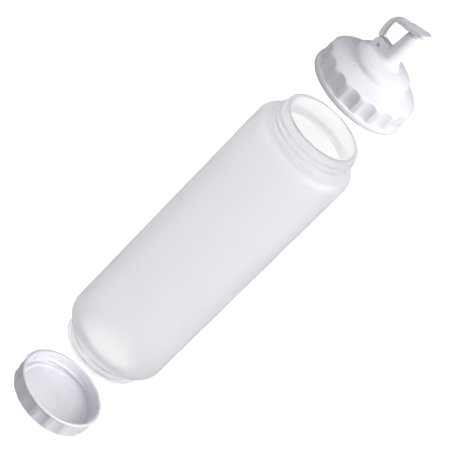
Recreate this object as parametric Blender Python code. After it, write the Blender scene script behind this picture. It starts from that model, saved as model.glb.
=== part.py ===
"""Two-ended squeeze bottle for sauces, taken apart and laid out in line on its side.

From -X to +X: the base cap with its mouth towards the bottle, the open bottle, and the dispensing cap
with its flip lever shut over the nozzle. Metres, +Z up, origin at the middle of the footprint. Each
piece is turned about an axis along X, and lies on a small flat along its lowest line.
"""

import math

import bmesh
import bpy
from mathutils import Matrix, Vector

MM = 0.001

# How the pieces lie
FLAT_HALF_WIDTH = 5 * MM  # half the width of the flat that each piece rests on
GAP_TO_DISPENSING_CAP = 29.9 * MM  # from the bottle's upper lip to the cap's open edge
GAP_TO_BASE_CAP = 45.6 * MM  # from the bottle's lower lip to the base cap's open edge
DISPENSING_CAP_ASIDE = 0.5 * MM  # how far each cap lies off the bottle's centre line, along +Y
BASE_CAP_ASIDE = 1.2 * MM

# Bottle, blow-moulded, with the same threaded neck at both ends
BODY_RADIUS = 35 * MM
BODY_LENGTH = 183.9 * MM  # the straight part
BODY_WALL = 1.2 * MM
SHOULDER_LENGTH = 7.2 * MM
SHOULDER_DROP = 5.5 * MM  # how far the shoulder's round comes in before its flat face
NECK_RADIUS = 26.6 * MM
NECK_INNER_RADIUS = 24.3 * MM
NECK_TO_LIP = 20.2 * MM  # from the end of the straight part to the lip
LIP_RADIUS = 25.8 * MM
LIP_INNER_RADIUS = 23.7 * MM
LIP_BAND = 4.8 * MM  # the thicker band inside each mouth
INNER_SHOULDER_LENGTH = 5.2 * MM
BODY_COLUMNS = 48

# Screw threads, right-handed, measured from the lip or from a cap's open edge
THREAD_PITCH = 4.2 * MM
THREAD_BASE_WIDTH = 2.2 * MM
THREAD_CREST_WIDTH = 0.9 * MM
THREAD_ROOT = 0.5 * MM  # how deep the ridge is rooted in the wall
THREAD_STEPS_PER_TURN = 24
THREAD_FADE_TURNS = 0.12  # the ridge rises out of the wall over this much of a turn
NECK_THREAD_CREST_RADIUS = 28.0 * MM
NECK_THREAD_TURNS = 1.72
UPPER_NECK_THREAD = 3.7 * MM
LOWER_NECK_THREAD = 1.8 * MM
CAP_INNER_RADIUS = 28.3 * MM
CAP_THREAD_CREST_RADIUS = 27.1 * MM
CAP_THREAD_TURNS = 1.1
CAP_THREAD = 3.2 * MM

# Grip flutes round both caps
FLUTES = 16
COLUMNS_PER_FLUTE = 4
FLUTE_HALF_ANGLE = math.radians(8.44)

# Dispensing cap, measured along its axis from the open edge
CAP_BEAD_RADIUS = 32.15 * MM
CAP_LAND_RADIUS = 31.3 * MM
CAP_FLUTE_DEPTH = 1.2 * MM
CAP_BEAD_HEIGHT = 4 * MM
CAP_FLUTE_PHASE = math.radians(-1.1)
NOZZLE_TIP = 51.0 * MM

# Hinge beside the nozzle: two ears on the dispensing cap, and a pin through them
HINGE_TURN = math.radians(15)  # about the cap's axis, so that the pin's upper end leans towards +Y
PIN_HEIGHT = 31.4 * MM
PIN_ASIDE = 10.2 * MM
PIN_RADIUS = 1.2 * MM
PIN_HOLE_RADIUS = 1.27 * MM
PIN_RECESS = 0.6 * MM  # each end of the pin sits this far inside its ear
EAR_INNER = 1.75 * MM
EAR_OUTER = 3.2 * MM
EAR_RADIUS = 4.45 * MM
EAR_TOP = 35.7 * MM
EAR_FOOT = 27.0 * MM  # sunk in the dome's wall
ROUND_STEPS = 24

# Flip lever, measured from the pin's axis: x along the nozzle, y away from it
KNUCKLE_RADIUS = 2.6 * MM
KNUCKLE_HALF_WIDTH = 1.45 * MM
ARM_HALF_WIDTH = 3.2 * MM
ARM_THICKNESS = 1.9 * MM
PLATE_HALF_WIDTH = 3.5 * MM
PLATE_THICKNESS = 2.7 * MM
PLATE_SLOPE = math.radians(18)
PLATE_CORNER = Vector((19.2 * MM, 1.7 * MM))  # middle of the plate's thickness, where the arm meets it
PLATE_LENGTH = 20.6 * MM
TAB_HALF_WIDTH = 4.9 * MM
TAB_START = 5.5 * MM  # along the plate from its corner
TAB_CORNER_RADIUS = 4.2 * MM
SEAL_TIP_RADIUS = 3.0 * MM
SEAL_RADIUS = 3.3 * MM
SEAL_TAPER = 0.8 * MM
SEAL_TOP = 23.0 * MM  # sunk in the plate
SEAL_GAP = 0.3 * MM  # from the nozzle's tip to the seal

# Base cap, measured along its axis from the open edge
BASE_BEAD_RADIUS = 30.7 * MM
BASE_LAND_RADIUS = 30.1 * MM
BASE_FLUTE_DEPTH = 1.0 * MM
BASE_BEAD_HEIGHT = 2.6 * MM
BASE_HEIGHT = 12.9 * MM
BASE_EDGE_RADIUS = 1.7 * MM
BASE_FLOOR_DEPTH = 10.2 * MM
BASE_FLUTE_PHASE = math.radians(6.9)
SEALING_RING_RADII = (24.4 * MM, 26.2 * MM)
SEALING_RING_HEIGHT = 1.0 * MM


def clear_scene():
    for obj in list(bpy.data.objects):
        bpy.data.objects.remove(obj)


def plastic(name, color, roughness, alpha=1.0):
    material = bpy.data.materials.new(name)
    material.use_nodes = True
    shader = material.node_tree.nodes["Principled BSDF"]
    shader.inputs["Base Color"].default_value = (*color, 1)
    shader.inputs["Roughness"].default_value = roughness
    shader.inputs["Metallic"].default_value = 0
    shader.inputs["Alpha"].default_value = alpha
    return material


def shade(mesh):
    """Round sides smooth, corners sharp."""
    mesh.shade_smooth()
    mesh.set_sharp_from_angle(angle=math.radians(35))


def add_object(name, bm):
    """Turns a bmesh into an object whose faces point outwards."""
    bmesh.ops.recalc_face_normals(bm, faces=bm.faces[:])
    mesh = bpy.data.meshes.new(name)
    bm.to_mesh(mesh)
    bm.free()
    shade(mesh)
    obj = bpy.data.objects.new(name, mesh)
    bpy.context.scene.collection.objects.link(obj)
    return obj


def apply_modifiers(obj):
    """Makes the object's evaluated mesh its own."""
    graph = bpy.context.evaluated_depsgraph_get()
    mesh = bpy.data.meshes.new_from_object(obj.evaluated_get(graph))
    obj.modifiers.clear()
    obj.data = mesh
    shade(mesh)


def join(body, pieces):
    """Unites the pieces with the body, then removes them."""
    collection = bpy.data.collections.new("pieces")
    bpy.context.scene.collection.children.link(collection)
    for piece in pieces:
        bpy.context.scene.collection.objects.unlink(piece)
        collection.objects.link(piece)
    union = body.modifiers.new("union", "BOOLEAN")
    union.operation = "UNION"
    union.operand_type = "COLLECTION"
    union.collection = collection
    apply_modifiers(body)
    for piece in pieces:
        bpy.data.objects.remove(piece)
    bpy.data.collections.remove(collection)


def drill(body, cutter):
    """Cuts the cutter out of the body, then removes it."""
    cut = body.modifiers.new("cut", "BOOLEAN")
    cut.operation = "DIFFERENCE"
    cut.object = cutter
    apply_modifiers(body)
    bpy.data.objects.remove(cutter)


def arc(center, radii, start, end, steps):
    """Points on part of an ellipse, both ends included. 0 degrees is along the first axis."""
    points = []
    for step in range(steps + 1):
        angle = math.radians(start + (end - start) * step / steps)
        points.append((center[0] + radii[0] * math.cos(angle), center[1] + radii[1] * math.sin(angle)))
    return points


def turned(name, profile, columns, first_angle=0.0):
    """Spins a closed outline of (x, radius) points about the X axis. Its first column is at first_angle
    from the top, towards -Y."""
    bm = bmesh.new()
    outwards = Vector((0, -math.sin(first_angle), math.cos(first_angle)))
    verts = [bm.verts.new(Vector((x, 0, 0)) + outwards * radius) for x, radius in profile]
    edges = []
    for start, end in zip(verts, verts[1:] + verts[:1]):
        if max(start.co.yz.length, end.co.yz.length) > 0:
            edges.append(bm.edges.new((start, end)))
    bmesh.ops.spin(bm, geom=verts + edges, cent=(0, 0, 0), axis=(1, 0, 0), angle=math.tau, steps=columns)
    bmesh.ops.remove_doubles(bm, verts=bm.verts[:], dist=0.001 * MM)
    return add_object(name, bm)


def rest_height(radius):
    """Height of the axis of a round piece above the flat that it lies on."""
    return math.sqrt(radius**2 - FLAT_HALF_WIDTH**2)


def press_flat(obj, radius):
    """Flattens the lowest line of a round piece, and whatever reaches lower."""
    for vert in obj.data.vertices:
        vert.co.z = max(vert.co.z, -rest_height(radius))


def press_flutes(obj, land_radius, depth, phase, span):
    """Hollows the grip flutes into the outside, between the two ends of span. Each is a round channel, and it
    runs out where the outside is already slimmer than the channel's floor."""
    half_chord = land_radius * math.sin(FLUTE_HALF_ANGLE)
    sag = depth - land_radius * (1 - math.cos(FLUTE_HALF_ANGLE))
    channel_radius = (half_chord**2 + sag**2) / (2 * sag)
    channel_center = land_radius - depth + channel_radius
    period = math.tau / FLUTES
    for vert in obj.data.vertices:
        radius = vert.co.yz.length
        if not span[0] < vert.co.x < span[1] or radius < land_radius - 2 * depth:
            continue
        angle = math.atan2(-vert.co.y, vert.co.z) - phase
        offset = (angle + period / 2) % period - period / 2
        across = channel_center * math.sin(offset)
        if abs(across) >= channel_radius:
            continue
        floor = channel_center * math.cos(offset) - math.sqrt(channel_radius**2 - across**2)
        if floor < radius:
            vert.co.yz *= floor / radius


def first_flute_column(phase):
    """The columns stand in the middle of each land's two edges and of each flute's two inner corners."""
    return phase + math.tau / (FLUTES * COLUMNS_PER_FLUTE * 2)


def thread_ridge(name, first_x, towards, turns, root_radius, crest_radius):
    """A right-handed ridge that starts at first_x under the axis and runs towards +X (1) or -X (-1). Both its
    ends sink into the wall. It stands outwards if the crest's radius is the larger one, and inwards if not."""
    bm = bmesh.new()
    outwards = math.copysign(1, crest_radius - root_radius)
    sunk_radius = root_radius - outwards * THREAD_ROOT
    hidden_crest = root_radius - outwards * THREAD_ROOT / 2
    steps = round(turns * THREAD_STEPS_PER_TURN)
    rings = []
    for step in range(steps + 1):
        turn = step / THREAD_STEPS_PER_TURN
        rise = min(1, turn / THREAD_FADE_TURNS, (steps / THREAD_STEPS_PER_TURN - turn) / THREAD_FADE_TURNS)
        crest = hidden_crest + (crest_radius - hidden_crest) * rise
        angle = towards * turn * math.tau
        spoke = Vector((0, math.sin(angle), -math.cos(angle)))
        middle = first_x + towards * turn * THREAD_PITCH
        corners = (
            (-THREAD_BASE_WIDTH / 2, sunk_radius),
            (-THREAD_CREST_WIDTH / 2, crest),
            (THREAD_CREST_WIDTH / 2, crest),
            (THREAD_BASE_WIDTH / 2, sunk_radius),
        )
        rings.append([bm.verts.new(Vector((middle + x, 0, 0)) + spoke * radius) for x, radius in corners])
    for ring, after in zip(rings, rings[1:]):
        for corner in range(4):
            following = (corner + 1) % 4
            bm.faces.new((ring[corner], ring[following], after[following], after[corner]))
    bm.faces.new(rings[0])
    bm.faces.new(reversed(rings[-1]))
    return add_object(name, bm)


def slab(name, outline, low, high):
    """A flat outline of (x, y) points, given thickness from low to high along Z."""
    bm = bmesh.new()
    face = bm.faces.new([bm.verts.new((x, y, low)) for x, y in outline])
    grown = bmesh.ops.extrude_face_region(bm, geom=[face])["geom"]
    raised = [item for item in grown if isinstance(item, bmesh.types.BMVert)]
    bmesh.ops.translate(bm, verts=raised, vec=(0, 0, high - low))
    return add_object(name, bm)


def circle(center, radius):
    return arc(center, (radius, radius), 0, 360 - 360 / ROUND_STEPS, ROUND_STEPS - 1)


def bottle_end(half_length):
    """Outside and inside of one end of the bottle as (x, radius) points, from the straight part to the lip."""
    shoulder_end = half_length + SHOULDER_LENGTH
    lip = half_length + NECK_TO_LIP
    shoulder_radius = BODY_RADIUS - SHOULDER_DROP
    outside = [
        *arc((half_length, shoulder_radius), (SHOULDER_LENGTH, SHOULDER_DROP), 90, 0, 5),
        (shoulder_end + 0.3 * MM, NECK_RADIUS + 0.8 * MM),
        (shoulder_end + 1.0 * MM, NECK_RADIUS),
        (lip - 0.9 * MM, NECK_RADIUS),
        (lip, LIP_RADIUS),
    ]
    band_start = lip - LIP_BAND
    inside = [
        *arc(
            (half_length, shoulder_radius),
            (INNER_SHOULDER_LENGTH, SHOULDER_DROP - BODY_WALL),
            90,
            0,
            3,
        ),
        (shoulder_end - 1.9 * MM, NECK_INNER_RADIUS + 0.8 * MM),
        (shoulder_end - 1.1 * MM, NECK_INNER_RADIUS),
        (band_start - 0.5 * MM, NECK_INNER_RADIUS),
        (band_start, LIP_INNER_RADIUS),
        (lip, LIP_INNER_RADIUS),
    ]
    return outside, inside


def mirrored(points):
    return [(-x, radius) for x, radius in reversed(points)]


def build_bottle():
    """The bottle's axis is the X axis, with its middle at the origin."""
    half_length = BODY_LENGTH / 2
    lip = half_length + NECK_TO_LIP
    outside, inside = bottle_end(half_length)
    profile = mirrored(outside) + outside + [*reversed(inside)] + [*reversed(mirrored(inside))]
    bottle = turned("bottle_body", profile, BODY_COLUMNS)
    threads = [
        thread_ridge(
            "upper_thread", lip - UPPER_NECK_THREAD, -1, NECK_THREAD_TURNS, NECK_RADIUS, NECK_THREAD_CREST_RADIUS
        ),
        thread_ridge(
            "lower_thread", LOWER_NECK_THREAD - lip, 1, NECK_THREAD_TURNS, NECK_RADIUS, NECK_THREAD_CREST_RADIUS
        ),
    ]
    join(bottle, threads)
    press_flat(bottle, BODY_RADIUS)
    bottle.location = (0, 0, rest_height(BODY_RADIUS))
    bottle.data.materials.append(plastic("frosted_polyethylene", (0.86, 0.86, 0.89), 0.4, 0.85))
    return bottle


def dispensing_cap_profile():
    """Closed outline of the cap and its nozzle as (x, radius), from the open edge up the outside."""
    bead = [(0, 30.9), (0.4, 31.8), (1.4, 32.15), (3.1, 31.95)]
    grip = [(4.0, 31.3), (4.3, 31.3), (13.6, 31.3), (14.8, 30.9), (15.9, 29.9)]
    shoulder = [(16.8, 28.6), (19.2, 24.0), (20.2, 22.5), (21.4, 21.2), (22.9, 20.2)]
    dome = [(24.3, 19.4), (25.6, 18.2), (26.7, 16.5), (27.6, 14.5), (28.2, 11.8), (28.5, 9.0)]
    nozzle = [(29.4, 7.1), (32.0, 5.75), (38.0, 4.6), (50.6, 3.45), (51.0, 3.15)]
    bore = [(51.0, 1.7), (37.0, 2.8), (31.0, 4.0), (27.4, 6.2), (26.8, 9.0)]
    underside = [(26.4, 12.4), (24.6, 15.9), (19.8, 18.9), (18.6, 20.2), (17.4, 22.5)]
    roof = [(16.0, 25.4), (12.4, 28.3)]
    mouth = [(0.6, 28.3), (0, 28.8)]
    return [(x * MM, r * MM) for x, r in bead + grip + shoulder + dome + nozzle + bore + underside + roof + mouth]


def ear_outline():
    """Side view of an ear. Its inner edge stays within the wall of the dome and the nozzle."""
    turn_start = math.degrees(math.acos((EAR_TOP - PIN_HEIGHT) / EAR_RADIUS))
    inner_edge = [(35.7, 3.0), (33.0, 3.6), (30.5, 4.5), (28.2, 6.4), (27.0, 9.2)]
    return [
        *arc((PIN_HEIGHT, PIN_ASIDE), (EAR_RADIUS, EAR_RADIUS), turn_start, 90, 8),
        (EAR_FOOT, PIN_ASIDE + EAR_RADIUS),
        *[(x * MM, y * MM) for x, y in reversed(inner_edge)],
    ]


def hinge_turn():
    return Matrix.Rotation(-HINGE_TURN, 4, "X")


def build_dispensing_cap():
    """The cap's axis is the X axis, with its open edge at the origin."""
    cap = turned(
        "dispensing_cap",
        dispensing_cap_profile(),
        FLUTES * COLUMNS_PER_FLUTE,
        first_flute_column(CAP_FLUTE_PHASE),
    )
    press_flutes(cap, CAP_LAND_RADIUS, CAP_FLUTE_DEPTH, CAP_FLUTE_PHASE, (CAP_BEAD_HEIGHT + 0.1 * MM, 16 * MM))
    press_flat(cap, CAP_LAND_RADIUS)
    thread = thread_ridge("cap_thread", CAP_THREAD, 1, CAP_THREAD_TURNS, CAP_INNER_RADIUS, CAP_THREAD_CREST_RADIUS)
    upper_ear = slab("upper_ear", ear_outline(), EAR_INNER, EAR_OUTER)
    lower_ear = slab("lower_ear", ear_outline(), -EAR_OUTER, -EAR_INNER)
    hole = slab("pin_hole", circle((PIN_HEIGHT, PIN_ASIDE), PIN_HOLE_RADIUS), -2 * EAR_OUTER, 2 * EAR_OUTER)
    for piece in (upper_ear, lower_ear, hole):
        piece.data.transform(hinge_turn())
    join(cap, [thread, upper_ear, lower_ear])
    drill(cap, hole)
    cap.data.materials.append(plastic("white_cap_plastic", (0.93, 0.93, 0.95), 0.3))
    return cap


def build_hinge_pin():
    """The pin's axis is the Z axis."""
    end = EAR_OUTER - PIN_RECESS
    pin = slab("hinge_pin", circle((0, 0), PIN_RADIUS), -end, end)
    pin.data.materials.append(plastic("white_pin_plastic", (0.9, 0.9, 0.92), 0.35))
    return pin


def ribbon(path, thickness):
    """Outline of a strip of even thickness whose middle follows the path."""
    sides = ([], [])
    for index, point in enumerate(path):
        before = Vector(path[max(index - 1, 0)])
        after = Vector(path[min(index + 1, len(path) - 1)])
        along = (after - before).normalized()
        across = Vector((-along.y, along.x)) * thickness / 2
        sides[0].append(Vector(point) + across)
        sides[1].append(Vector(point) - across)
    return sides[0] + sides[1][::-1]


def arm_path():
    """Middle of the arm: up past the ears, bowed a little outwards, then round into the plate."""
    return [
        (4.6 * MM, 3.5 * MM),
        (7.0 * MM, 4.35 * MM),
        (10.0 * MM, 4.85 * MM),
        (13.0 * MM, 4.95 * MM),
        *arc((15.6 * MM, 1.7 * MM), (3.2 * MM, 3.15 * MM), 82, 12, 5),
    ]


def plate_outline():
    """Plan of the plate and its wider thumb tab, as (distance from the corner, half width) on both sides."""
    tab_end = PLATE_LENGTH - TAB_CORNER_RADIUS
    side = [
        (-1.8 * MM, ARM_HALF_WIDTH),
        (0, PLATE_HALF_WIDTH),
        (TAB_START, PLATE_HALF_WIDTH),
        (TAB_START + 1.2 * MM, TAB_HALF_WIDTH),
        *arc((tab_end, TAB_HALF_WIDTH - TAB_CORNER_RADIUS), (TAB_CORNER_RADIUS, TAB_CORNER_RADIUS), 90, 0, 5),
    ]
    return side + [(x, -y) for x, y in reversed(side)]


def build_plate():
    """The plate lies across the arm's end, and rises towards the thumb tab."""
    plate = slab("plate", plate_outline(), -PLATE_THICKNESS / 2, PLATE_THICKNESS / 2)
    along = Vector((math.sin(PLATE_SLOPE), -math.cos(PLATE_SLOPE), 0))
    upwards = Vector((math.cos(PLATE_SLOPE), math.sin(PLATE_SLOPE), 0))
    sideways = upwards.cross(along)
    turn = Matrix((along, sideways, upwards)).transposed().to_4x4()
    plate.data.transform(Matrix.Translation((*PLATE_CORNER, 0)) @ turn)
    return plate


def build_lever():
    """The lever's origin is on the pin's axis, which is the Z axis."""
    tongue_path = [(0, 1.2 * MM), (1.8 * MM, 2.1 * MM), (3.4 * MM, 2.95 * MM), *arm_path()[:2]]
    lever = slab("flip_lever", circle((0, 0), KNUCKLE_RADIUS), -KNUCKLE_HALF_WIDTH, KNUCKLE_HALF_WIDTH)
    tongue = slab("tongue", ribbon(tongue_path, ARM_THICKNESS - 0.1 * MM), -KNUCKLE_HALF_WIDTH, KNUCKLE_HALF_WIDTH)
    arm = slab("arm", ribbon(arm_path(), ARM_THICKNESS), -ARM_HALF_WIDTH, ARM_HALF_WIDTH)
    seal_start = NOZZLE_TIP + SEAL_GAP - PIN_HEIGHT
    seal = turned(
        "seal",
        [
            (seal_start, 0),
            (seal_start, SEAL_TIP_RADIUS),
            (seal_start + SEAL_TAPER, SEAL_RADIUS),
            (SEAL_TOP, SEAL_RADIUS),
            (SEAL_TOP, 0),
        ],
        ROUND_STEPS,
        math.pi / ROUND_STEPS,
    )
    seal.data.transform(Matrix.Translation((0, -PIN_ASIDE, 0)))
    join(lever, [tongue, arm, build_plate(), seal])
    bore = slab("bore", circle((0, 0), PIN_HOLE_RADIUS), -2 * KNUCKLE_HALF_WIDTH, 2 * KNUCKLE_HALF_WIDTH)
    drill(lever, bore)
    lever.data.materials.append(plastic("white_lever_plastic", (0.93, 0.93, 0.95), 0.3))
    return lever


def base_cap_profile():
    """Closed outline of the base cap as (x, radius), from the open edge down the outside to the middle. The
    cap's closed end points to -X."""
    bead = [(0, 29.5), (-0.3, 30.3), (-1.2, 30.7), (-2.2, 30.6)]
    edge = arc(
        (BASE_EDGE_RADIUS - BASE_HEIGHT, BASE_LAND_RADIUS - BASE_EDGE_RADIUS),
        (BASE_EDGE_RADIUS, BASE_EDGE_RADIUS),
        90,
        180,
        3,
    )
    inner, outer = SEALING_RING_RADII
    ring_top = SEALING_RING_HEIGHT - BASE_FLOOR_DEPTH
    return [
        *[(x * MM, r * MM) for x, r in bead],
        (-BASE_BEAD_HEIGHT, BASE_LAND_RADIUS),
        (-BASE_BEAD_HEIGHT - 0.3 * MM, BASE_LAND_RADIUS),
        *edge,
        (-BASE_HEIGHT, 0),
        (-BASE_FLOOR_DEPTH, 0),
        (-BASE_FLOOR_DEPTH, inner - 0.3 * MM),
        (ring_top, inner),
        (ring_top, outer),
        (-BASE_FLOOR_DEPTH, outer + 0.3 * MM),
        (-BASE_FLOOR_DEPTH, CAP_INNER_RADIUS - 0.6 * MM),
        (0.6 * MM - BASE_FLOOR_DEPTH, CAP_INNER_RADIUS),
        (-0.6 * MM, CAP_INNER_RADIUS),
        (0, CAP_INNER_RADIUS + 0.4 * MM),
    ]


def build_base_cap():
    """The cap's axis is the X axis, with its open edge at the origin."""
    cap = turned(
        "base_cap", base_cap_profile(), FLUTES * COLUMNS_PER_FLUTE, first_flute_column(BASE_FLUTE_PHASE)
    )
    press_flutes(
        cap,
        BASE_LAND_RADIUS,
        BASE_FLUTE_DEPTH,
        BASE_FLUTE_PHASE,
        (-BASE_HEIGHT, -BASE_BEAD_HEIGHT - 0.1 * MM),
    )
    press_flat(cap, BASE_LAND_RADIUS)
    thread = thread_ridge(
        "base_thread", -CAP_THREAD, -1, CAP_THREAD_TURNS, CAP_INNER_RADIUS, CAP_THREAD_CREST_RADIUS
    )
    join(cap, [thread])
    cap.data.materials.append(plastic("white_base_plastic", (0.93, 0.93, 0.95), 0.3))
    return cap


def centre_along_x(objects):
    """Moves everything so that the whole length is centred on the origin."""
    bpy.context.view_layer.update()
    ends = []
    for obj in objects:
        ends += [(obj.matrix_world @ vert.co).x for vert in obj.data.vertices]
    middle = (min(ends) + max(ends)) / 2
    for obj in objects:
        obj.location.x -= middle


def main():
    clear_scene()
    lip = BODY_LENGTH / 2 + NECK_TO_LIP
    cap_edge = Vector((lip + GAP_TO_DISPENSING_CAP, DISPENSING_CAP_ASIDE, rest_height(CAP_LAND_RADIUS)))
    pin_axis = cap_edge + hinge_turn() @ Vector((PIN_HEIGHT, PIN_ASIDE, 0))
    bottle = build_bottle()
    dispensing_cap = build_dispensing_cap()
    dispensing_cap.location = cap_edge
    hinge_pin = build_hinge_pin()
    lever = build_lever()
    for piece in (hinge_pin, lever):
        piece.location = pin_axis
        piece.rotation_euler.x = -HINGE_TURN
    base_cap = build_base_cap()
    base_cap.location = (-lip - GAP_TO_BASE_CAP, BASE_CAP_ASIDE, rest_height(BASE_LAND_RADIUS))
    centre_along_x([bottle, dispensing_cap, hinge_pin, lever, base_cap])


main()
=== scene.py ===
"""Looks of a two-ended squeeze bottle for sauces, taken apart and laid out in line on its side.

The frosted bottle lies between its two loose caps: the screw base cap on the -X side with its
mouth towards the bottle, and the dispensing cap on the +X side with its flip lever shut over the
nozzle.
"""

import math

import bmesh
import bpy
from mathutils import Matrix, Vector


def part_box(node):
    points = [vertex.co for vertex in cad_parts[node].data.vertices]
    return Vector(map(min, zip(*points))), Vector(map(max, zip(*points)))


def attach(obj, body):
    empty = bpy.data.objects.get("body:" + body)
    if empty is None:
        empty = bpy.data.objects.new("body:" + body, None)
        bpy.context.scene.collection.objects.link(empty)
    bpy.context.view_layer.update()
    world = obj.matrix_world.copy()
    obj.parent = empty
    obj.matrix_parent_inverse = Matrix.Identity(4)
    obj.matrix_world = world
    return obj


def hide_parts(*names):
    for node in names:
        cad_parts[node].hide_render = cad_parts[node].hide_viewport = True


MM = 0.001

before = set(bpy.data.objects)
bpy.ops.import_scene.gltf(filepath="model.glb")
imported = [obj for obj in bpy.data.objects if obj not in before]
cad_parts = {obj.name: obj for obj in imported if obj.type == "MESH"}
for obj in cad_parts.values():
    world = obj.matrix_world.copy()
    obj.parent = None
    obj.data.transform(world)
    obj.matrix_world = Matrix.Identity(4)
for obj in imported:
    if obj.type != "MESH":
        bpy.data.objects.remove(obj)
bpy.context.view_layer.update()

# ---------------------------------------------------------------------------
# Sizes, in millimetres along and around each piece's own axis
# ---------------------------------------------------------------------------

# Bottle, from its middle
BODY_RADIUS = 35.0
BODY_HALF_LENGTH = 91.95
SHOULDER_LENGTH = 7.2
SHOULDER_DROP = 5.5
WALL = 1.2
INNER_SHOULDER_LENGTH = 5.2
NECK_RADIUS = 26.6
NECK_INNER_RADIUS = 24.3
NECK_TO_LIP = 20.2
LIP_RADIUS = 25.8
LIP_INNER_RADIUS = 23.7
LIP_BAND = 4.8
BODY_COLUMNS = 256

# Screw threads, from the lip or from the open edge of a cap
THREAD_PITCH = 4.2
THREAD_HALF_WIDTH = 1.15
THREAD_HALF_CREST = 0.35
THREAD_FADE_TURNS = 0.12
ON_WALL = 0.15  # points this near to a wall's radius belong to it
NECK_THREAD_HEIGHT = 1.4
NECK_THREAD_TURNS = 1.72
UPPER_NECK_THREAD = 3.7
LOWER_NECK_THREAD = 1.8
CAP_THREAD_HEIGHT = 1.2
CAP_THREAD_TURNS = 1.1
CAP_THREAD = 3.2
CAP_INNER_RADIUS = 28.3

# Grip flutes
FLUTES = 16
CAP_COLUMNS = FLUTES * 22
FLUTE_HALF_ANGLE = math.radians(8.2)
DISPENSING_FLUTES = {"land": 31.3, "depth": 1.2, "phase": math.radians(-1.1), "span": (4.0, 16.2)}
BASE_FLUTES = {"land": 30.1, "depth": 1.0, "phase": math.radians(6.9), "span": (-12.9, -1.85)}

# Hinge and lever, from the open edge of the dispensing cap or from the pin
HINGE_TURN = math.radians(15)  # about the cap's axis, so that the pin's upper end leans towards +Y
PIN_HEIGHT = 31.4
PIN_ASIDE = 10.2
PIN_HOLE_RADIUS = 1.27
DRILL_LENGTH = 12.0
EAR_INNER = 1.75
EAR_OUTER = 3.2
EAR_RADIUS = 4.45
EAR_TOP = 35.7
EAR_FOOT = 27.0
NOZZLE_TIP = 51.0

# Where each piece's axis runs, read from the frame
bottle_low, bottle_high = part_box("bottle_body")
cap_low, cap_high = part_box("dispensing_cap")
base_low, base_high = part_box("base_cap")
FLAT_HALF_WIDTH = 5.0


def axis_height(radius):
    """Height of the axis of a round piece that rests on its flat."""
    return math.sqrt(radius**2 - FLAT_HALF_WIDTH**2) * MM


BOTTLE_AXIS = Vector(((bottle_low.x + bottle_high.x) / 2, 0, axis_height(BODY_RADIUS)))
CAP_AXIS = Vector((cap_low.x, (cap_low.y + cap_high.y) / 2, axis_height(DISPENSING_FLUTES["land"])))
BASE_AXIS = Vector((base_high.x, (base_low.y + base_high.y) / 2, axis_height(BASE_FLUTES["land"])))
UNTURNED_PIN = CAP_AXIS + Vector((PIN_HEIGHT * MM, PIN_ASIDE * MM, 0))

# ---------------------------------------------------------------------------
# Camera: above the row and nearer to its dispensing cap, so that it looks into
# the bottle's mouth and the base cap, and rolled so that the row runs up to the
# right
# ---------------------------------------------------------------------------
LEAN = math.radians(30.9)
ROLL = math.radians(45.2)
DISTANCE = 1.3927
LENS = 184.0
SENSOR_WIDTH = 36
AIM = BOTTLE_AXIS + Vector((0.01825, 0.00074, 0))

backwards = Vector((math.sin(LEAN), 0, math.cos(LEAN)))
along_row = Vector((math.cos(LEAN), 0, -math.sin(LEAN)))
across_row = Vector((0, -1, 0))
to_right = math.cos(ROLL) * along_row + math.sin(ROLL) * across_row
to_top = math.sin(ROLL) * along_row - math.cos(ROLL) * across_row
camera_data = bpy.data.cameras.new("camera")
camera = bpy.data.objects.new("camera", camera_data)
bpy.context.scene.collection.objects.link(camera)
camera_data.lens = LENS
camera_data.sensor_width = SENSOR_WIDTH
camera.matrix_world = Matrix.Translation(AIM + backwards * DISTANCE) @ Matrix(
    (to_right, to_top, backwards)
).transposed().to_4x4()
bpy.context.scene.camera = camera

# ---------------------------------------------------------------------------
# Modelling helpers
# ---------------------------------------------------------------------------
SMALLEST_STEP = 0.01
MERGE_WITHIN = 0.002
CORNER_ANGLE = math.radians(50)  # corners sharper than this are rounded
CREASE_ANGLE = math.radians(35)  # edges sharper than this stay crisp
BOTTLE_CREASE_ANGLE = math.radians(40)


def deselect():
    """Leaves edit mode and selects nothing."""
    if bpy.context.object and bpy.context.object.mode != "OBJECT":
        bpy.ops.object.mode_set(mode="OBJECT")
    bpy.ops.object.select_all(action="DESELECT")


def make_active(piece):
    deselect()
    piece.select_set(True)
    bpy.context.view_layer.objects.active = piece


def settle(piece, name):
    """Names the piece and puts its place into its mesh."""
    make_active(piece)
    piece.name = name
    piece.data.name = name
    bpy.ops.object.transform_apply(location=True, rotation=True, scale=True)
    return piece


def pick(piece, test):
    """Selects, in edit mode, the points that pass the test."""
    edited = bmesh.from_edit_mesh(piece.data)
    edited.select_mode = {"VERT"}
    for vert in edited.verts:
        vert.select = test(vert.co)
    edited.select_flush_mode()
    bmesh.update_edit_mesh(piece.data)


def apply_modifier(piece, kind, **settings):
    """Adds a modifier with these settings to the piece and applies it."""
    make_active(piece)
    modifier = piece.modifiers.new(kind.lower(), kind)
    for key, value in settings.items():
        setattr(modifier, key, value)
    bpy.ops.object.modifier_apply(modifier=modifier.name)


def arc(center, radii, start, end, steps):
    """Points on part of an ellipse, both ends included. 0 degrees is along the first axis."""
    points = []
    for step in range(steps + 1):
        angle = math.radians(start + (end - start) * step / steps)
        along = center[0] + radii[0] * math.cos(angle)
        points.append((along, center[1] + radii[1] * math.sin(angle)))
    return points


def line(start, end, steps):
    """Evenly spaced points from start to end, both included."""
    return [
        (
            start[0] + (end[0] - start[0]) * step / steps,
            start[1] + (end[1] - start[1]) * step / steps,
        )
        for step in range(steps + 1)
    ]


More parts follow.
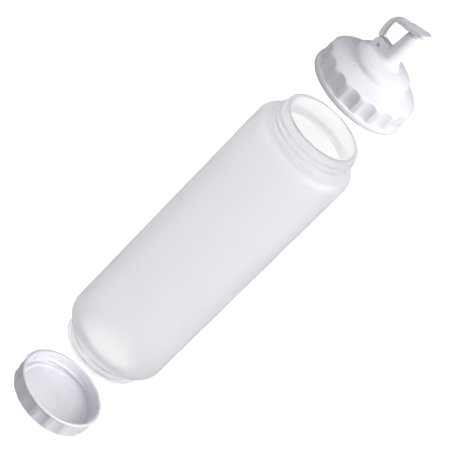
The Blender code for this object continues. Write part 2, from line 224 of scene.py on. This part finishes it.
def smooth(points, steps):
    """A soft curve through the points, with this many steps between each two."""
    padded = [points[0], *points, points[-1]]
    curve = []
    for before, start, end, after in zip(padded, padded[1:], padded[2:], padded[3:]):
        for step in range(steps):
            t = step / steps
            curve.append(
                tuple(
                    0.5
                    * (
                        2 * start[i]
                        + (end[i] - before[i]) * t
                        + (2 * before[i] - 5 * start[i] + 4 * end[i] - after[i]) * t**2
                        + (3 * start[i] - before[i] - 3 * end[i] + after[i]) * t**3
                    )
                    for i in (0, 1)
                )
            )
    return [*curve, points[-1]]


def without_repeats(points):
    """Leaves out each point that all but meets the one before it."""
    kept = [points[0]]
    for point in points[1:]:
        if math.dist(point, kept[-1]) > SMALLEST_STEP:
            kept.append(point)
    return kept


def draw_outline(name, place, points, closed=True):
    """Draws an outline by extruding one point after another. Each is (along, up) from place."""
    deselect()
    bpy.ops.mesh.primitive_plane_add(size=0.01, location=place)
    piece = settle(bpy.context.object, name)
    bpy.ops.object.mode_set(mode="EDIT")
    bpy.ops.mesh.select_all(action="SELECT")
    bpy.ops.mesh.merge(type="CENTER")
    here = Vector((points[0][0], 0, points[0][1])) * MM
    bpy.ops.transform.translate(value=here)
    for start, end in zip(points, points[1:]):
        step = Vector((end[0] - start[0], 0, end[1] - start[1])) * MM
        bpy.ops.mesh.extrude_vertices_move(TRANSFORM_OT_translate={"value": step})
    if closed:
        first = place + here
        last = place + Vector((points[-1][0], 0, points[-1][1])) * MM
        pick(piece, lambda co: (co - first).length < 1e-7 or (co - last).length < 1e-7)
        bpy.ops.mesh.edge_face_add()
    return piece


def turn_outline(name, place, points, columns):
    """Spins an outline of (along, radius) points about the axis through place along X."""
    points = without_repeats(points)
    on_axis = points[0][1] == 0
    piece = draw_outline(name, place, points, closed=not on_axis)
    bpy.ops.mesh.select_all(action="SELECT")
    bpy.ops.mesh.spin(steps=columns, angle=math.tau, center=place, axis=(1, 0, 0))
    bpy.ops.mesh.select_all(action="SELECT")
    bpy.ops.mesh.remove_doubles(threshold=MERGE_WITHIN * MM)
    bpy.ops.mesh.normals_make_consistent(inside=False)
    bpy.ops.object.mode_set(mode="OBJECT")
    return piece


def lay_flat(piece):
    """Presses whatever reaches below the surface that the piece lies on up to that surface."""
    make_active(piece)
    bpy.ops.object.mode_set(mode="EDIT")
    pick(piece, lambda co: co.z < 0)
    bpy.ops.transform.resize(value=(1, 1, 0), center_override=(0, 0, 0))
    bpy.ops.object.mode_set(mode="OBJECT")


def raise_points(piece, name, heights):
    """Moves points along their normals. heights gives metres for each point's number."""
    most = max((abs(height) for height in heights.values()), default=0)
    sign = math.copysign(1, sum(heights.values()))
    group = piece.vertex_groups.new(name=name)
    for index, height in heights.items():
        group.add([index], abs(height) / most, "REPLACE")
    apply_modifier(piece, "DISPLACE", vertex_group=name, mid_level=0, strength=sign * most)
    piece.vertex_groups.remove(piece.vertex_groups[name])


def ease(amount):
    """Goes softly from 0 to 1 as the amount does."""
    amount = min(max(amount, 0), 1)
    return amount * amount * (3 - 2 * amount)


def raise_thread(piece, place, start, towards, turns, wall_radius, height):
    """Raises a right-handed thread on a wall, from under the axis at start, towards +X or -X."""
    heights = {}
    reach = turns * THREAD_PITCH + THREAD_HALF_WIDTH
    for vert in piece.data.vertices:
        local = (vert.co - place) / MM
        along = towards * (local.x - start)
        off_wall = abs(local.yz.length - wall_radius)
        if not -THREAD_HALF_WIDTH < along < reach or off_wall > ON_WALL:
            continue
        part_turn = (towards * math.atan2(local.y, -local.z) / math.tau) % 1
        tallest = 0
        for whole_turns in range(math.ceil(turns)):
            turn = part_turn + whole_turns
            aside = abs(along - turn * THREAD_PITCH)
            flank = ease((THREAD_HALF_WIDTH - aside) / (THREAD_HALF_WIDTH - THREAD_HALF_CREST))
            rise = ease(min(turn, turns - turn) / THREAD_FADE_TURNS)
            tallest = max(tallest, flank * rise)
        if tallest > 0:
            heights[vert.index] = height * tallest * MM
    raise_points(piece, "thread", heights)


def press_flutes(piece, place, land, depth, phase, span):
    """Presses a ring of round grip channels straight in towards the axis, from span to span."""
    half_chord = land * math.sin(FLUTE_HALF_ANGLE)
    sag = depth - land * (1 - math.cos(FLUTE_HALF_ANGLE))
    channel_radius = (half_chord**2 + sag**2) / (2 * sag)
    channel_center = land - depth + channel_radius
    period = math.tau / FLUTES
    innermost = land - 2 * depth
    group = piece.vertex_groups.new(name="flutes")
    for vert in piece.data.vertices:
        local = (vert.co - place) / MM
        radius = local.yz.length
        if not span[0] < local.x < span[1] or radius < innermost:
            continue
        angle = math.atan2(-local.y, local.z) - phase
        aside = (angle + period / 2) % period - period / 2
        reach = channel_radius**2 - (channel_center * math.sin(aside)) ** 2
        if reach <= 0:
            continue
        channel = channel_center * math.cos(aside) - math.sqrt(reach)
        if radius > channel:
            group.add([vert.index], (radius - channel) / (radius - innermost), "REPLACE")
    guide = bpy.data.objects.new("axis_guide", None)
    bpy.context.scene.collection.objects.link(guide)
    guide.matrix_world = Matrix.Translation(place) @ Matrix.Rotation(math.pi / 2, 4, "Y")
    bpy.context.view_layer.update()
    apply_modifier(
        piece,
        "CAST",
        cast_type="CYLINDER",
        object=guide,
        use_transform=True,
        use_z=False,
        use_radius_as_size=False,
        radius=0,
        size=innermost * MM,
        factor=1,
        vertex_group="flutes",
    )
    piece.vertex_groups.remove(piece.vertex_groups["flutes"])
    bpy.data.objects.remove(guide)


# ---------------------------------------------------------------------------
# Bottle
# ---------------------------------------------------------------------------


def bottle_end():
    """Outside and inside of the +X end of the bottle, from the straight part to the lip."""
    shoulder_end = BODY_HALF_LENGTH + SHOULDER_LENGTH
    lip = BODY_HALF_LENGTH + NECK_TO_LIP
    shoulder_radius = BODY_RADIUS - SHOULDER_DROP
    outside = [
        *arc((BODY_HALF_LENGTH, shoulder_radius), (SHOULDER_LENGTH, SHOULDER_DROP), 90, 4, 18),
        *arc((shoulder_end + 1.1, NECK_RADIUS + 1.1), (1.1, 1.1), 180, 270, 6),
        *line((shoulder_end + 1.3, NECK_RADIUS), (lip - 1.1, NECK_RADIUS), 40),
        *arc((lip - 0.9, LIP_RADIUS), (0.9, 0.8), 90, 0, 6),
    ]
    band_start = lip - LIP_BAND
    inside = [
        *arc(
            (BODY_HALF_LENGTH, shoulder_radius),
            (INNER_SHOULDER_LENGTH, SHOULDER_DROP - WALL),
            90,
            6,
            10,
        ),
        *arc((shoulder_end - 0.95, NECK_INNER_RADIUS + 1.0), (1.0, 1.0), 180, 270, 6),
        *line((shoulder_end - 0.7, NECK_INNER_RADIUS), (band_start - 0.9, NECK_INNER_RADIUS), 20),
        (band_start, LIP_INNER_RADIUS),
        *line((band_start + 0.4, LIP_INNER_RADIUS), (lip - 0.5, LIP_INNER_RADIUS), 4),
        *arc((lip - 0.5, LIP_INNER_RADIUS + 0.5), (0.5, 0.5), 270, 360, 4),
    ]
    return outside, inside


def mirrored(points):
    """The same outline at the other end of the bottle."""
    return [(-x, radius) for x, radius in reversed(points)]


def make_bottle():
    """Hollow bottle with the same neck at both ends, and a thread on each."""
    outside, inside = bottle_end()
    inner_radius = BODY_RADIUS - WALL
    body_line = line((-BODY_HALF_LENGTH, BODY_RADIUS), (BODY_HALF_LENGTH, BODY_RADIUS), 24)
    inner_line = line((BODY_HALF_LENGTH, inner_radius), (-BODY_HALF_LENGTH, inner_radius), 12)
    outline = [
        *mirrored(outside),
        *body_line,
        *outside,
        *reversed(inside),
        *inner_line,
        *reversed(mirrored(inside)),
    ]
    bottle = turn_outline("frosted_bottle", BOTTLE_AXIS, outline, BODY_COLUMNS)
    lip = BODY_HALF_LENGTH + NECK_TO_LIP
    neck_thread = (NECK_THREAD_TURNS, NECK_RADIUS, NECK_THREAD_HEIGHT)
    for start, towards in ((lip - UPPER_NECK_THREAD, -1), (LOWER_NECK_THREAD - lip, 1)):
        raise_thread(bottle, BOTTLE_AXIS, start, towards, *neck_thread)
    lay_flat(bottle)
    make_active(bottle)
    bpy.ops.object.shade_smooth_by_angle(angle=BOTTLE_CREASE_ANGLE)
    return bottle


# ---------------------------------------------------------------------------
# Dispensing cap with its nozzle and hinge ears
# ---------------------------------------------------------------------------


def cap_outline():
    """Bead, grip, shoulder, dome and nozzle outside, then bore, roof and wall inside."""
    land = DISPENSING_FLUTES["land"]
    bead = smooth(
        [(0, 30.9), (0.3, 31.6), (1.0, 32.05), (2.0, 32.14), (3.2, 31.95), (3.8, 31.6)], 3
    )
    grip = [(3.95, land), (4.06, land), *line((4.4, land), (13.2, land), 5)]
    top = smooth(
        [
            (13.2, land),
            (14.1, 31.15),
            (14.8, 30.8),
            (15.5, 30.3),
            (16.1, 29.6),
            (16.8, 28.5),
            (17.9, 26.4),
            (19.0, 24.3),
            (19.9, 22.5),
            (20.6, 21.3),
            (21.8, 20.3),
            (23.3, 19.8),
            (24.7, 19.2),
            (25.9, 17.9),
            (26.9, 16.1),
            (27.6, 14.3),
            (28.2, 12.0),
            (28.5, 10.2),
            (28.8, 8.7),
            (29.6, 7.2),
            (31.2, 6.1),
            (33.6, 5.35),
            (38.0, 4.6),
            (42.0, 4.22),
            (46.0, 3.85),
            (50.4, 3.5),
        ],
        4,
    )
    tip = [*arc((NOZZLE_TIP - 0.5, 3.0), (0.5, 0.5), 90, 0, 4), (NOZZLE_TIP, 1.9)]
    bore = smooth([(NOZZLE_TIP - 0.2, 1.7), (37.0, 2.8), (31.0, 4.0), (27.4, 6.2), (26.8, 9.0)], 3)
    underside = smooth(
        [(26.8, 9.0), (26.4, 12.4), (24.6, 15.9), (19.8, 18.9), (18.6, 20.2), (17.4, 22.5)], 3
    )
    roof = [(16.0, 25.4), (13.0, 27.9), (12.4, 28.3)]
    wall = line((12.0, CAP_INNER_RADIUS), (0.9, CAP_INNER_RADIUS), 36)
    mouth = [(0.5, 28.4), (0.1, 28.7), (0, 28.9)]
    return [*bead, *grip, *top, *tip, *bore, *underside, *roof, *wall, *mouth]


def make_ear(name, middle_height):
    """One hinge ear. Its inner edge stays within the wall of the dome and the nozzle."""
    turn_start = math.degrees(math.acos((EAR_TOP - PIN_HEIGHT) / EAR_RADIUS))
    inner_edge = [(27.0, 9.2), (28.2, 6.4), (30.5, 4.5), (33.0, 3.6), (35.7, 3.0)]
    outline = [
        *arc((PIN_HEIGHT, PIN_ASIDE), (EAR_RADIUS, EAR_RADIUS), turn_start, 90, 16),
        (EAR_FOOT, PIN_ASIDE + EAR_RADIUS),
        *inner_edge,
    ]
    place = CAP_AXIS + Vector((0, 0, middle_height))
    ear = flat_shape(name, place, outline, (EAR_OUTER - EAR_INNER) * MM)
    round_corners(ear, 0.25 * MM, 3)
    drill_for_pin(ear)
    turn_with_hinge(ear)
    return ear


def turn_with_hinge(piece):
    """Turns a piece about the cap's axis to where the hinge stands."""
    make_active(piece)
    bpy.ops.object.mode_set(mode="EDIT")
    bpy.ops.mesh.select_all(action="SELECT")
    bpy.ops.transform.rotate(value=HINGE_TURN, orient_axis="X", center_override=CAP_AXIS)
    bpy.ops.object.mode_set(mode="OBJECT")


def flat_shape(name, place, outline, thickness):
    """An outline of (x, y) points level with place, filled and given its thickness."""
    piece = draw_outline(name, place, outline)
    bpy.ops.mesh.select_all(action="SELECT")
    bpy.ops.mesh.edge_face_add()
    # The outline was drawn upright, so it is laid level: its second axis becomes +Y.
    edited = bmesh.from_edit_mesh(piece.data)
    for vert in edited.verts:
        local = vert.co - place
        vert.co = place + Vector((local.x, local.z, -thickness / 2))
    bmesh.update_edit_mesh(piece.data)
    bpy.ops.mesh.extrude_region_move(TRANSFORM_OT_translate={"value": (0, 0, thickness)})
    bpy.ops.mesh.select_all(action="SELECT")
    bpy.ops.mesh.normals_make_consistent(inside=False)
    bpy.ops.object.mode_set(mode="OBJECT")
    return piece


def round_corners(piece, width, segments, sharper_than=CORNER_ANGLE):
    """Rounds the piece's sharp edges."""
    apply_modifier(
        piece,
        "BEVEL",
        width=width,
        segments=segments,
        limit_method="ANGLE",
        angle_limit=sharper_than,
    )


def unite(body, piece):
    """Joins a piece to the body, and removes it."""
    apply_modifier(body, "BOOLEAN", operation="UNION", object=piece, solver="EXACT")
    bpy.data.objects.remove(piece)


def drill_for_pin(body):
    """Drills the pin's hole, before the body is turned with the hinge."""
    deselect()
    bpy.ops.mesh.primitive_cylinder_add(
        vertices=64, radius=PIN_HOLE_RADIUS * MM, depth=DRILL_LENGTH * MM, location=UNTURNED_PIN
    )
    cutter = bpy.context.object
    apply_modifier(body, "BOOLEAN", operation="DIFFERENCE", object=cutter, solver="EXACT")
    bpy.data.objects.remove(cutter)


def make_dispensing_cap():
    """Fluted screw cap with a dome, a nozzle and two hinge ears, all one piece."""
    cap = turn_outline("nozzle_cap", CAP_AXIS, cap_outline(), CAP_COLUMNS)
    press_flutes(cap, CAP_AXIS, **DISPENSING_FLUTES)
    raise_thread(
        cap, CAP_AXIS, CAP_THREAD, 1, CAP_THREAD_TURNS, CAP_INNER_RADIUS, CAP_THREAD_HEIGHT
    )
    lay_flat(cap)
    middle = (EAR_INNER + EAR_OUTER) / 2 * MM
    unite(cap, make_ear("upper_ear", middle))
    unite(cap, make_ear("lower_ear", -middle))
    make_active(cap)
    bpy.ops.object.shade_smooth_by_angle(angle=CREASE_ANGLE)
    return cap


# ---------------------------------------------------------------------------
# Base cap
# ---------------------------------------------------------------------------
BASE_HEIGHT = 12.9
BASE_EDGE_RADIUS = 1.7
BASE_FLOOR = 10.2
SEALING_RING = (24.4, 26.2)
SEALING_RING_HEIGHT = 1.0


def base_outline():
    """Back, rounded edge, grip and bead outside, then the wall, the floor and its ring inside."""
    inner, outer = SEALING_RING
    ring_top = SEALING_RING_HEIGHT - BASE_FLOOR
    land = BASE_FLUTES["land"]
    bead = smooth(
        [(0, 29.6), (-0.12, 30.1), (-0.4, 30.45), (-0.85, 30.6), (-1.3, 30.5), (-1.6, 30.2)], 3
    )
    edge_middle = (BASE_EDGE_RADIUS - BASE_HEIGHT, land - BASE_EDGE_RADIUS)
    edge = arc(edge_middle, (BASE_EDGE_RADIUS, BASE_EDGE_RADIUS), 90, 180, 10)
    outside = [
        (-BASE_HEIGHT, 0),
        (-BASE_HEIGHT, 10),
        (-BASE_HEIGHT, 20),
        (-BASE_HEIGHT, 26),
        *reversed(edge),
        *reversed(line((-2.3, land), (-10.5, land), 6)),
        (-1.89, land),
        (-1.8, land),
        *reversed(bead),
    ]
    mouth = [(0, 28.8), (-0.15, 28.55), (-0.5, CAP_INNER_RADIUS)]
    wall = line((-0.9, CAP_INNER_RADIUS), (0.9 - BASE_FLOOR, CAP_INNER_RADIUS), 32)
    floor_corner = arc((0.8 - BASE_FLOOR, CAP_INNER_RADIUS - 0.8), (0.8, 0.8), 90, 180, 5)
    ring = [
        (-BASE_FLOOR, outer + 0.35),
        (0.3 - BASE_FLOOR, outer + 0.1),
        (ring_top - 0.3, outer),
        (ring_top, outer - 0.25),
        (ring_top, inner + 0.25),
        (ring_top - 0.3, inner),
        (0.3 - BASE_FLOOR, inner - 0.1),
        (-BASE_FLOOR, inner - 0.35),
    ]
    floor = [(-BASE_FLOOR, 20), (-BASE_FLOOR, 10), (-BASE_FLOOR, 0)]
    return [*outside, *mouth, *wall, *floor_corner, *ring, *floor]


def make_base_cap():
    """Fluted screw cap, open towards the bottle, with a thread and a sealing ring inside."""
    cap = turn_outline("screw_base", BASE_AXIS, base_outline(), CAP_COLUMNS)
    press_flutes(cap, BASE_AXIS, **BASE_FLUTES)
    raise_thread(
        cap, BASE_AXIS, -CAP_THREAD, -1, CAP_THREAD_TURNS, CAP_INNER_RADIUS, CAP_THREAD_HEIGHT
    )
    lay_flat(cap)
    make_active(cap)
    bpy.ops.object.shade_smooth_by_angle(angle=CREASE_ANGLE)
    return cap


# ---------------------------------------------------------------------------
# Flip lever
# ---------------------------------------------------------------------------
KNUCKLE_RADIUS = 2.6
KNUCKLE_HALF_WIDTH = 1.45
ARM_HALF_WIDTH = 3.2
ARM_THICKNESS = 1.9
ARM_TOP = (15.6, 1.7)  # middle of the bend from the arm to the plate
PLATE_HALF_WIDTH = 3.5
PLATE_THICKNESS = 2.7
PLATE_SLOPE = math.radians(18)
PLATE_CORNER = (19.2, 1.7)
PLATE_LENGTH = 20.6
TAB_HALF_WIDTH = 4.9
TAB_START = 5.5
TAB_EASE = 1.2
WIDENING = (-2, 3)  # where along the plate the strip starts to widen and thicken, and for how far
TAB_CORNER_RADIUS = 4.2
SEAL_TIP_RADIUS = 3.0
SEAL_RADIUS = 3.3
SEAL_TAPER = 0.8
SEAL_TOP = 23.0
SEAL_EDGE = 0.4
SEAL_GAP = 0.3
TONGUE_GAP = 0.02


ON_ARM = -5
STRIP_ROWS = 8


def arm_path():
    """Middle of the arm and the plate, from the pin: up past the ears, and across the nozzle."""
    bow = smooth([(4.6, 3.5), (7.0, 4.35), (10.0, 4.85), (13.0, 4.95)], 5)
    corner = arc(ARM_TOP, (3.2, 3.15), 80, 18, 14)
    plate_end = (
        PLATE_CORNER[0] + PLATE_LENGTH * math.sin(PLATE_SLOPE),
        PLATE_CORNER[1] - PLATE_LENGTH * math.cos(PLATE_SLOPE),
    )
    return without_repeats([*bow, *corner, *line(PLATE_CORNER, plate_end, 40)])


def along_plate(point):
    """Distance along the plate from its corner. The arm lies before it, all at one distance."""
    local = (point - UNTURNED_PIN) / MM
    if local.x < ARM_TOP[0]:
        return ON_ARM
    along = Vector((math.sin(PLATE_SLOPE), -math.cos(PLATE_SLOPE)))
    return (local.xy - Vector(PLATE_CORNER)).dot(along)


def plate_share(distance):
    """0 on the arm and 1 on the plate, with a soft change between."""
    start, length = WIDENING
    return ease((distance - start) / length)


def strip_half_width(distance):
    """Half width of the lever's strip at a distance along the plate from its corner."""
    width = ARM_HALF_WIDTH + (PLATE_HALF_WIDTH - ARM_HALF_WIDTH) * plate_share(distance)
    width += (TAB_HALF_WIDTH - PLATE_HALF_WIDTH) * ease((distance - TAB_START) / TAB_EASE)
    into_corner = distance - (PLATE_LENGTH - TAB_CORNER_RADIUS)
    if into_corner > 0:
        width -= TAB_CORNER_RADIUS - math.sqrt(max(TAB_CORNER_RADIUS**2 - into_corner**2, 0))
    return width


def make_strip():
    """Arm and plate in one: a line that follows the path, swept to its width and thickened."""
    strip = draw_outline("lever_strip", UNTURNED_PIN, arm_path(), closed=False)
    edited = bmesh.from_edit_mesh(strip.data)
    for vert in edited.verts:
        local = vert.co - UNTURNED_PIN
        vert.co = UNTURNED_PIN + Vector((local.x, local.z, -1 * MM))
    bmesh.update_edit_mesh(strip.data)
    bpy.ops.mesh.select_all(action="SELECT")
    for _ in range(STRIP_ROWS):
        step = (0, 0, 2 / STRIP_ROWS * MM)
        bpy.ops.mesh.extrude_edges_move(TRANSFORM_OT_translate={"value": step})
    edited = bmesh.from_edit_mesh(strip.data)
    for vert in edited.verts:
        across = (vert.co.z - UNTURNED_PIN.z) * strip_half_width(along_plate(vert.co))
        vert.co.z = UNTURNED_PIN.z + across
    bmesh.update_edit_mesh(strip.data)
    bpy.ops.mesh.select_all(action="SELECT")
    bpy.ops.mesh.normals_make_consistent(inside=False)
    bpy.ops.object.mode_set(mode="OBJECT")
    group = strip.vertex_groups.new(name="thickness")
    for vert in strip.data.vertices:
        share = plate_share(along_plate(vert.co))
        thickness = ARM_THICKNESS + (PLATE_THICKNESS - ARM_THICKNESS) * share
        group.add([vert.index], thickness / PLATE_THICKNESS, "REPLACE")
    apply_modifier(
        strip, "SOLIDIFY", thickness=PLATE_THICKNESS * MM, offset=0, vertex_group="thickness"
    )
    strip.vertex_groups.remove(strip.vertex_groups["thickness"])
    round_corners(strip, 0.4 * MM, 4)
    return strip


def make_tongue():
    """Joins the knuckle to the foot of the arm, between the ears."""
    outline = [
        *[(0.3, 2.5), (1.4, 2.95), (3.0, 3.75), (5.6, 4.75)],
        *[(6.2, 3.4), (4.6, 2.6), (2.4, 1.5), (0, 0.4)],
    ]
    width = 2 * (KNUCKLE_HALF_WIDTH - TONGUE_GAP) * MM
    tongue = flat_shape("tongue", UNTURNED_PIN, outline, width)
    round_corners(tongue, 0.2 * MM, 3, sharper_than=math.radians(60))
    return tongue


def make_seal():
    """Tapered boss under the plate that closes the nozzle."""
    start = NOZZLE_TIP + SEAL_GAP - PIN_HEIGHT
    outline = [
        (start, 0),
        (start, SEAL_TIP_RADIUS - 0.6),
        *arc((start + SEAL_EDGE, SEAL_TIP_RADIUS - SEAL_EDGE), (SEAL_EDGE, SEAL_EDGE), 180, 90, 4),
        (start + SEAL_TAPER, SEAL_RADIUS),
        (SEAL_TOP, SEAL_RADIUS),
        (SEAL_TOP, 0),
    ]
    return turn_outline("seal", UNTURNED_PIN - Vector((0, PIN_ASIDE * MM, 0)), outline, 96)


def make_lever():
    """Knuckle, tongue, arm with plate, and seal in one piece, turned with the hinge."""
    deselect()
    bpy.ops.mesh.primitive_cylinder_add(
        vertices=96,
        radius=KNUCKLE_RADIUS * MM,
        depth=2 * KNUCKLE_HALF_WIDTH * MM,
        location=UNTURNED_PIN,
    )
    lever = settle(bpy.context.object, "thumb_lever")
    round_corners(lever, 0.2 * MM, 3, sharper_than=math.radians(30))
    for piece in (make_tongue(), make_strip(), make_seal()):
        unite(lever, piece)
    drill_for_pin(lever)
    turn_with_hinge(lever)
    make_active(lever)
    bpy.ops.object.shade_smooth_by_angle(angle=CREASE_ANGLE)
    return lever


# ---------------------------------------------------------------------------
# Materials
# ---------------------------------------------------------------------------


def new_material(name):
    material = bpy.data.materials.new(name)
    material.use_nodes = True
    nodes = material.node_tree.nodes
    nodes.clear()
    shader = nodes.new("ShaderNodeBsdfPrincipled")
    output = nodes.new("ShaderNodeOutputMaterial")
    material.node_tree.links.new(shader.outputs["BSDF"], output.inputs["Surface"])
    return material, shader


def noise(material, scale, detail):
    """A noise pattern that keeps its place on the piece."""
    nodes = material.node_tree.nodes
    place = nodes.new("ShaderNodeTexCoord")
    pattern = nodes.new("ShaderNodeTexNoise")
    pattern.inputs["Scale"].default_value = scale
    pattern.inputs["Detail"].default_value = detail
    material.node_tree.links.new(place.outputs["Object"], pattern.inputs["Vector"])
    return pattern.outputs["Fac"]


def mottled_color(material, pattern, dark, light):
    """Mixes two near colours by the pattern."""
    mix = material.node_tree.nodes.new("ShaderNodeMix")
    mix.data_type = "RGBA"
    mix.inputs[6].default_value = (*dark, 1)
    mix.inputs[7].default_value = (*light, 1)
    material.node_tree.links.new(pattern, mix.inputs["Factor"])
    return mix.outputs[2]


def between(material, pattern, low, high):
    """Spreads the middle of a noise pattern from low to high."""
    spread = material.node_tree.nodes.new("ShaderNodeMapRange")
    spread.inputs["From Min"].default_value = 0.3
    spread.inputs["From Max"].default_value = 0.7
    spread.inputs["To Min"].default_value = low
    spread.inputs["To Max"].default_value = high
    material.node_tree.links.new(pattern, spread.inputs["Value"])
    return spread.outputs["Result"]


def skin_bump(material, pattern, strength, depth):
    """Fine relief of the moulded skin."""
    bump = material.node_tree.nodes.new("ShaderNodeBump")
    bump.inputs["Strength"].default_value = strength
    bump.inputs["Distance"].default_value = depth
    material.node_tree.links.new(pattern, bump.inputs["Height"])
    return bump.outputs["Normal"]


def white_plastic(name="white_glossy_plastic", painted_shade_tone=1):
    """Glossy moulded polypropylene: nearly even, with a fine skin and slightly uneven gloss."""
    material, shader = new_material(name)
    links = material.node_tree.links
    clouds = noise(material, scale=45, detail=2)
    skin = noise(material, scale=900, detail=2)
    # A tone factor below 1 darkens the whole copy: painted shade, not a darker plastic.
    dark = Vector((0.835, 0.84, 0.88)) * painted_shade_tone
    light = Vector((0.865, 0.87, 0.905)) * painted_shade_tone
    color = mottled_color(material, clouds, dark, light)
    links.new(color, shader.inputs["Base Color"])
    gloss = between(material, clouds, low=0.24, high=0.32)
    links.new(gloss, shader.inputs["Roughness"])
    relief = skin_bump(material, skin, strength=0.05, depth=0.2 * MM)
    links.new(relief, shader.inputs["Normal"])
    shader.inputs["Subsurface Weight"].default_value = 0.15
    shader.inputs["Subsurface Radius"].default_value = (1, 1, 1)
    shader.inputs["Subsurface Scale"].default_value = 0.001
    return material


def frosted_plastic():
    """Frosted polyethylene: light comes through it scattered, with a milky share."""
    material, shader = new_material("frosted_plastic")
    nodes = material.node_tree.nodes
    links = material.node_tree.links
    haze = noise(material, scale=14, detail=3)
    skin = noise(material, scale=1100, detail=2)
    color = mottled_color(material, haze, dark=(0.972, 0.97, 0.99), light=(0.988, 0.988, 1.0))
    links.new(color, shader.inputs["Base Color"])
    frosting = between(material, haze, low=0.36, high=0.43)
    links.new(frosting, shader.inputs["Roughness"])
    relief = skin_bump(material, skin, strength=0.06, depth=0.1 * MM)
    links.new(relief, shader.inputs["Normal"])
    shader.inputs["IOR"].default_value = 1.35
    shader.inputs["Transmission Weight"].default_value = 0.92
    milk = nodes.new("ShaderNodeBsdfTranslucent")
    blend = nodes.new("ShaderNodeMixShader")
    blend.inputs["Fac"].default_value = 0.12
    links.new(color, milk.inputs["Color"])
    links.new(shader.outputs["BSDF"], blend.inputs[1])
    links.new(milk.outputs["BSDF"], blend.inputs[2])
    output = next(node for node in nodes if node.type == "OUTPUT_MATERIAL")
    links.new(blend.outputs["Shader"], output.inputs["Surface"])
    return material


# ---------------------------------------------------------------------------
# Floor and light, in metres
# ---------------------------------------------------------------------------
FLOOR_WIDTH = 8
FLOOR_GAP = 0.0005
SURROUND_RADIUS = 3.9
SURROUND_HEIGHT = 6
SURROUND_SUNK = 0.01  # how far its foot reaches below the floor
LIGHT_DISTANCE = 1.8
SURROUNDING_COLOR = (0.955, 0.95, 1, 1)
SURROUNDING_STRENGTH = 0.24


def white_paper():
    """Plain white that glows a little, so that it stays white where little light falls."""
    material, shader = new_material("white_floor")
    shader.inputs["Base Color"].default_value = (0.15, 0.15, 0.15, 1)
    shader.inputs["Roughness"].default_value = 0.9
    shader.inputs["Emission Color"].default_value = (1, 1, 1, 1)
    shader.inputs["Emission Strength"].default_value = 1.03
    return material


def make_floor():
    """A white floor, and a white surround that closes the view behind it."""
    deselect()
    bpy.ops.mesh.primitive_plane_add(size=FLOOR_WIDTH, location=(0, 0, -FLOOR_GAP))
    floor = settle(bpy.context.object, "floor")
    deselect()
    bpy.ops.mesh.primitive_cylinder_add(
        vertices=96,
        radius=SURROUND_RADIUS,
        depth=SURROUND_HEIGHT,
        end_fill_type="NOTHING",
        location=(0, 0, SURROUND_HEIGHT / 2 - SURROUND_SUNK),
    )
    surround = settle(bpy.context.object, "surround")
    paper = white_paper()
    for stage in (floor, surround):
        stage.data.materials.append(paper)
        stage.visible_diffuse = False
        stage.visible_glossy = False
    surround.visible_transmission = False
    surround.visible_shadow = False


def soft_box(name, towards, size, power):
    """A rectangular light that looks at the middle of the row from this direction."""
    place = Vector(towards).normalized() * LIGHT_DISTANCE
    data = bpy.data.lights.new(name, "AREA")
    data.shape = "RECTANGLE"
    data.size, data.size_y = size
    data.energy = power
    light = bpy.data.objects.new(name, data)
    bpy.context.scene.collection.objects.link(light)
    light.visible_camera = False
    light.location = place
    light.rotation_euler = (-place).to_track_quat("-Z", "Y").to_euler()


def make_light():
    """A broad key from one side of the row, four weaker fills, and an even pale surrounding."""
    for name, towards, size, power in (
        ("key_light", (0.50, -0.80, 0.20), (1.6, 1.0), 36),
        ("end_fill", (0.95, 0.10, 0.30), (1.0, 1.0), 4.5),
        ("left_fill", (0.60, 0.70, 0.40), (1.0, 1.0), 7),
        ("top_fill", (0.10, -0.50, 0.86), (1.0, 1.0), 3.5),
        ("back_fill", (-0.99, 0.06, 0.08), (0.4, 0.4), 6),
    ):
        soft_box(name, towards, size, power)
    world = bpy.data.worlds.new("studio")
    bpy.context.scene.world = world
    world.use_nodes = True
    background = world.node_tree.nodes["Background"]
    background.inputs["Color"].default_value = SURROUNDING_COLOR
    background.inputs["Strength"].default_value = SURROUNDING_STRENGTH


# ---------------------------------------------------------------------------
# Everything
# ---------------------------------------------------------------------------
white = white_plastic()
frosted = frosted_plastic()
# The hinge pin's material is a darker copy of the white plastic: painted shade that stands for its
# dark, recessed hole.
pin_painted_shade = white_plastic("pin_plastic_painted_shade", painted_shade_tone=0.62)

PIECES = (
    (make_bottle, "bottle_body", "bottle", "frosted_polyethylene", frosted),
    (make_dispensing_cap, "dispensing_cap", "bottle", "white_plastic", white),
    (make_base_cap, "base_cap", "bottle", "white_plastic", white),
    (make_lever, "flip_lever", "lever", "white_plastic", white),
)
for make, node, body, slot, finish in PIECES:
    piece = make()
    piece.data.materials.clear()
    piece.data.materials.append(finish)
    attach(piece, body)
    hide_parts(node)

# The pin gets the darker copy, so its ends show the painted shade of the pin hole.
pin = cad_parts["hinge_pin"]
for pin_slot in pin.material_slots:
    pin_slot.material = pin_painted_shade

make_floor()
make_light()
bpy.context.scene.view_settings.view_transform = "Standard"
